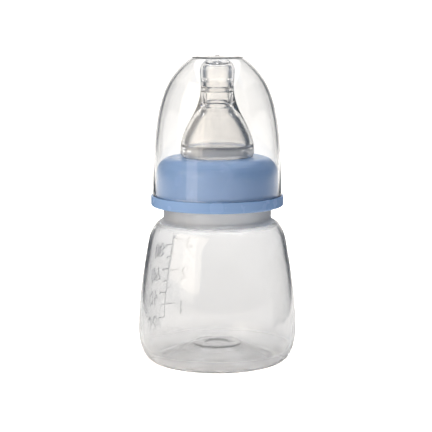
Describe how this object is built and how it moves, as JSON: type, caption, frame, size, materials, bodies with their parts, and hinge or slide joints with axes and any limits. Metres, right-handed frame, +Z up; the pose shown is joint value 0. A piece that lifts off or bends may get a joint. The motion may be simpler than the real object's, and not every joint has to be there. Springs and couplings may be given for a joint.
{
  "type": "baby bottle",
  "caption": "Small wide-bodied baby bottle with a screw collar, a soft nipple and a clear dome cap.",
  "frame": {"origin": "centre of the ring that the bottle stands on, on the bottle's axis, at the table", "axes": "+Z up along the bottle's axis, towards the tip of the nipple. -Y faces the viewer. The measuring scale is at the back left, between +Y and -X."},
  "size_m": [0.057, 0.057, 0.1104],
  "materials": {
    "bottle": "translucent natural polypropylene, blow-moulded, satin inside and glossy outside",
    "nipple": "clear liquid silicone rubber, polished mould",
    "collar": "pale blue polypropylene, injection-moulded, glossy",
    "cap": "clear rigid plastic, injection-moulded, polished"
  },
  "bodies": {
    "bottle": {"bottle": "bottle"},
    "nipple": {"nipple": "nipple"},
    "collar": {"collar": "collar"},
    "cap": {"cap": "cap"}
  },
  "joints": [
    {"name": "nipple_lift", "type": "slide", "parent": "bottle", "child": "nipple", "axis": [0, 0, 1], "range_m": [0, 0.0101]},
    {"name": "collar_turn", "type": "hinge", "parent": "nipple", "child": "collar", "pos_m": [0, 0, 0.065], "axis": [0, 0, 1], "range_deg": [0, 900]},
    {"name": "cap_lift", "type": "slide", "parent": "collar", "child": "cap", "axis": [0, 0, 1], "range_m": [0, 0.055]}
  ],
  "couplings": [
    {"joint": "nipple_lift", "follows": "collar_turn", "m_per_rad": 0.00063662}
  ]
}
